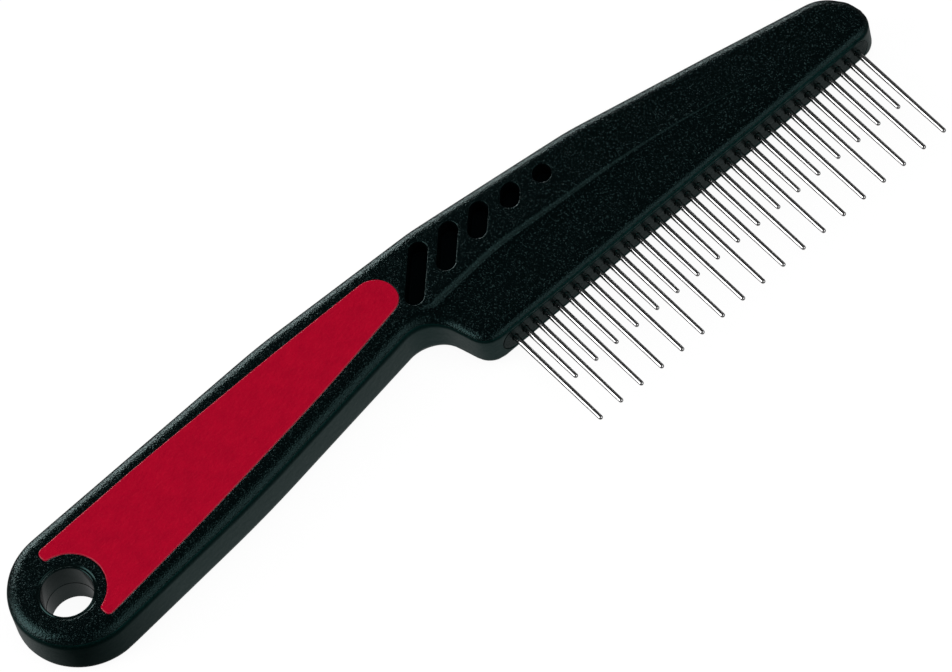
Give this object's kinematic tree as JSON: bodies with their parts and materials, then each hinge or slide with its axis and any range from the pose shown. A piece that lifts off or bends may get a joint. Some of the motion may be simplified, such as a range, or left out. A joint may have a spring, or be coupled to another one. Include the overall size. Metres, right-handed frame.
{
  "type": "dematting comb",
  "caption": "Long-handled pet comb with a hang hole, soft grip inlays and one row of alternating long and short steel pins that turn freely in a plastic head.",
  "frame": {"origin": "on the axis of the hang hole, half-way through the thickness", "axes": "+X from the hang hole to the head's tip, the pins point along -Y, +Z out of the front face; front and back are mirror images in Z = 0"},
  "size_m": [0.215, 0.0606, 0.0126],
  "materials": {
    "body_plastic": "spark-eroded texture on the faces, satin smooth side wall",
    "strip_plastic": "satin moulded",
    "grip_rubber": "soft-touch, fine pebble",
    "pin_steel": "polished nickel-plated steel"
  },
  "bodies": {
    "comb": {"comb_body": "body_plastic", "tooth_strip": "strip_plastic", "front_grip": "grip_rubber", "rear_grip": "grip_rubber"},
    "pin_01_body": {"pin_01": "pin_steel"},
    "pin_02_body": {"pin_02": "pin_steel"},
    "pin_03_body": {"pin_03": "pin_steel"},
    "pin_04_body": {"pin_04": "pin_steel"},
    "pin_05_body": {"pin_05": "pin_steel"},
    "pin_06_body": {"pin_06": "pin_steel"},
    "pin_07_body": {"pin_07": "pin_steel"},
    "pin_08_body": {"pin_08": "pin_steel"},
    "pin_09_body": {"pin_09": "pin_steel"},
    "pin_10_body": {"pin_10": "pin_steel"},
    "pin_11_body": {"pin_11": "pin_steel"},
    "pin_12_body": {"pin_12": "pin_steel"},
    "pin_13_body": {"pin_13": "pin_steel"},
    "pin_14_body": {"pin_14": "pin_steel"},
    "pin_15_body": {"pin_15": "pin_steel"},
    "pin_16_body": {"pin_16": "pin_steel"},
    "pin_17_body": {"pin_17": "pin_steel"},
    "pin_18_body": {"pin_18": "pin_steel"},
    "pin_19_body": {"pin_19": "pin_steel"},
    "pin_20_body": {"pin_20": "pin_steel"},
    "pin_21_body": {"pin_21": "pin_steel"},
    "pin_22_body": {"pin_22": "pin_steel"},
    "pin_23_body": {"pin_23": "pin_steel"},
    "pin_24_body": {"pin_24": "pin_steel"},
    "pin_25_body": {"pin_25": "pin_steel"},
    "pin_26_body": {"pin_26": "pin_steel"},
    "pin_27_body": {"pin_27": "pin_steel"},
    "pin_28_body": {"pin_28": "pin_steel"},
    "pin_29_body": {"pin_29": "pin_steel"},
    "pin_30_body": {"pin_30": "pin_steel"},
    "pin_31_body": {"pin_31": "pin_steel"},
    "pin_32_body": {"pin_32": "pin_steel"},
    "pin_33_body": {"pin_33": "pin_steel"},
    "pin_34_body": {"pin_34": "pin_steel"},
    "pin_35_body": {"pin_35": "pin_steel"}
  },
  "joints": [
    {"name": "pin_01_spin", "type": "hinge", "parent": "comb", "child": "pin_01_body", "pos_m": [0.1037, -0.017, 0], "axis": [0, -1, 0], "continuous": true},
    {"name": "pin_02_spin", "type": "hinge", "parent": "comb", "child": "pin_02_body", "pos_m": [0.10645, -0.017, 0], "axis": [0, -1, 0], "continuous": true},
    {"name": "pin_03_spin", "type": "hinge", "parent": "comb", "child": "pin_03_body", "pos_m": [0.1092, -0.017, 0], "axis": [0, -1, 0], "continuous": true},
    {"name": "pin_04_spin", "type": "hinge", "parent": "comb", "child": "pin_04_body", "pos_m": [0.11195, -0.017, 0], "axis": [0, -1, 0], "continuous": true},
    {"name": "pin_05_spin", "type": "hinge", "parent": "comb", "child": "pin_05_body", "pos_m": [0.1147, -0.017, 0], "axis": [0, -1, 0], "continuous": true},
    {"name": "pin_06_spin", "type": "hinge", "parent": "comb", "child": "pin_06_body", "pos_m": [0.11745, -0.017, 0], "axis": [0, -1, 0], "continuous": true},
    {"name": "pin_07_spin", "type": "hinge", "parent": "comb", "child": "pin_07_body", "pos_m": [0.1202, -0.017, 0], "axis": [0, -1, 0], "continuous": true},
    {"name": "pin_08_spin", "type": "hinge", "parent": "comb", "child": "pin_08_body", "pos_m": [0.12295, -0.017, 0], "axis": [0, -1, 0], "continuous": true},
    {"name": "pin_09_spin", "type": "hinge", "parent": "comb", "child": "pin_09_body", "pos_m": [0.1257, -0.017, 0], "axis": [0, -1, 0], "continuous": true},
    {"name": "pin_10_spin", "type": "hinge", "parent": "comb", "child": "pin_10_body", "pos_m": [0.12845, -0.017, 0], "axis": [0, -1, 0], "continuous": true},
    {"name": "pin_11_spin", "type": "hinge", "parent": "comb", "child": "pin_11_body", "pos_m": [0.1312, -0.017, 0], "axis": [0, -1, 0], "continuous": true},
    {"name": "pin_12_spin", "type": "hinge", "parent": "comb", "child": "pin_12_body", "pos_m": [0.13395, -0.017, 0], "axis": [0, -1, 0], "continuous": true},
    {"name": "pin_13_spin", "type": "hinge", "parent": "comb", "child": "pin_13_body", "pos_m": [0.1367, -0.017, 0], "axis": [0, -1, 0], "continuous": true},
    {"name": "pin_14_spin", "type": "hinge", "parent": "comb", "child": "pin_14_body", "pos_m": [0.13945, -0.017, 0], "axis": [0, -1, 0], "continuous": true},
    {"name": "pin_15_spin", "type": "hinge", "parent": "comb", "child": "pin_15_body", "pos_m": [0.1422, -0.017, 0], "axis": [0, -1, 0], "continuous": true},
    {"name": "pin_16_spin", "type": "hinge", "parent": "comb", "child": "pin_16_body", "pos_m": [0.14495, -0.017, 0], "axis": [0, -1, 0], "continuous": true},
    {"name": "pin_17_spin", "type": "hinge", "parent": "comb", "child": "pin_17_body", "pos_m": [0.1477, -0.017, 0], "axis": [0, -1, 0], "continuous": true},
    {"name": "pin_18_spin", "type": "hinge", "parent": "comb", "child": "pin_18_body", "pos_m": [0.15045, -0.017, 0], "axis": [0, -1, 0], "continuous": true},
    {"name": "pin_19_spin", "type": "hinge", "parent": "comb", "child": "pin_19_body", "pos_m": [0.1532, -0.017, 0], "axis": [0, -1, 0], "continuous": true},
    {"name": "pin_20_spin", "type": "hinge", "parent": "comb", "child": "pin_20_body", "pos_m": [0.15595, -0.017, 0], "axis": [0, -1, 0], "continuous": true},
    {"name": "pin_21_spin", "type": "hinge", "parent": "comb", "child": "pin_21_body", "pos_m": [0.1587, -0.017, 0], "axis": [0, -1, 0], "continuous": true},
    {"name": "pin_22_spin", "type": "hinge", "parent": "comb", "child": "pin_22_body", "pos_m": [0.16145, -0.017, 0], "axis": [0, -1, 0], "continuous": true},
    {"name": "pin_23_spin", "type": "hinge", "parent": "comb", "child": "pin_23_body", "pos_m": [0.1642, -0.017, 0], "axis": [0, -1, 0], "continuous": true},
    {"name": "pin_24_spin", "type": "hinge", "parent": "comb", "child": "pin_24_body", "pos_m": [0.16695, -0.017, 0], "axis": [0, -1, 0], "continuous": true},
    {"name": "pin_25_spin", "type": "hinge", "parent": "comb", "child": "pin_25_body", "pos_m": [0.1697, -0.017, 0], "axis": [0, -1, 0], "continuous": true},
    {"name": "pin_26_spin", "type": "hinge", "parent": "comb", "child": "pin_26_body", "pos_m": [0.17245, -0.017, 0], "axis": [0, -1, 0], "continuous": true},
    {"name": "pin_27_spin", "type": "hinge", "parent": "comb", "child": "pin_27_body", "pos_m": [0.1752, -0.017, 0], "axis": [0, -1, 0], "continuous": true},
    {"name": "pin_28_spin", "type": "hinge", "parent": "comb", "child": "pin_28_body", "pos_m": [0.17795, -0.017, 0], "axis": [0, -1, 0], "continuous": true},
    {"name": "pin_29_spin", "type": "hinge", "parent": "comb", "child": "pin_29_body", "pos_m": [0.1807, -0.017, 0], "axis": [0, -1, 0], "continuous": true},
    {"name": "pin_30_spin", "type": "hinge", "parent": "comb", "child": "pin_30_body", "pos_m": [0.18345, -0.017, 0], "axis": [0, -1, 0], "continuous": true},
    {"name": "pin_31_spin", "type": "hinge", "parent": "comb", "child": "pin_31_body", "pos_m": [0.1862, -0.017, 0], "axis": [0, -1, 0], "continuous": true},
    {"name": "pin_32_spin", "type": "hinge", "parent": "comb", "child": "pin_32_body", "pos_m": [0.18895, -0.017, 0], "axis": [0, -1, 0], "continuous": true},
    {"name": "pin_33_spin", "type": "hinge", "parent": "comb", "child": "pin_33_body", "pos_m": [0.1917, -0.017, 0], "axis": [0, -1, 0], "continuous": true},
    {"name": "pin_34_spin", "type": "hinge", "parent": "comb", "child": "pin_34_body", "pos_m": [0.19445, -0.017, 0], "axis": [0, -1, 0], "continuous": true},
    {"name": "pin_35_spin", "type": "hinge", "parent": "comb", "child": "pin_35_body", "pos_m": [0.1972, -0.017, 0], "axis": [0, -1, 0], "continuous": true}
  ]
}
